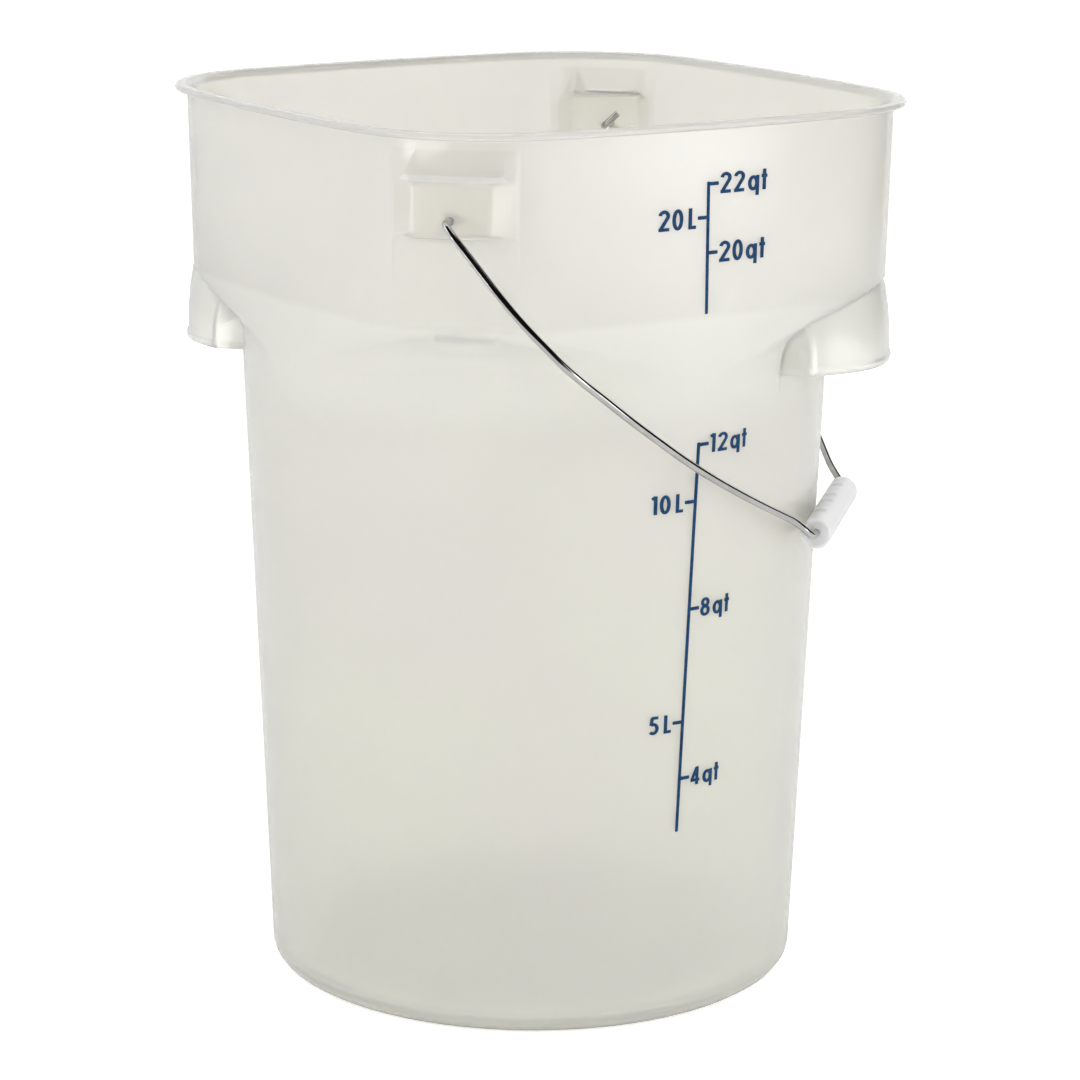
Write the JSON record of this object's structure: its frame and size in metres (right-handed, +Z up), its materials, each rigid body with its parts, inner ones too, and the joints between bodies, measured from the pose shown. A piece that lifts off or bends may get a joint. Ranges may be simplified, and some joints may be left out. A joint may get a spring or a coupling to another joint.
{
  "type": "food storage container",
  "caption": "Translucent food storage pail with a round tapered body, rounded-square top, finger skirts and a swinging wire bail with a plastic grip.",
  "frame": {"origin": "centre of the base, on the surface that the container stands on", "axes": "+Z up. The four corners of the square top lie on +X, -X, +Y and -Y. The bail's hinge line is parallel to Y, through the front (-Y) and back (+Y) corners, and the bail hangs on the +X side"},
  "size_m": [0.3328, 0.366, 0.405],
  "materials": {
    "natural_polypropylene": "translucent natural polypropylene, fine satin",
    "plated_steel_wire": "bright plated wire",
    "grip_plastic": "translucent white plastic with a faint lavender tint"
  },
  "bodies": {
    "container": {"container": "natural_polypropylene"},
    "bail": {"bail_wire": "plated_steel_wire"},
    "grip": {"bail_grip": "grip_plastic"}
  },
  "joints": [
    {"name": "bail_swing", "type": "hinge", "parent": "container", "child": "bail", "pos_m": [0, 0, 0.369], "axis": [0, -1, 0], "range_deg": [0, 275.5]},
    {"name": "grip_spin", "type": "hinge", "parent": "bail", "child": "grip", "pos_m": [0.13744, 0, 0.21744], "axis": [0, 1, 0], "continuous": true}
  ]
}
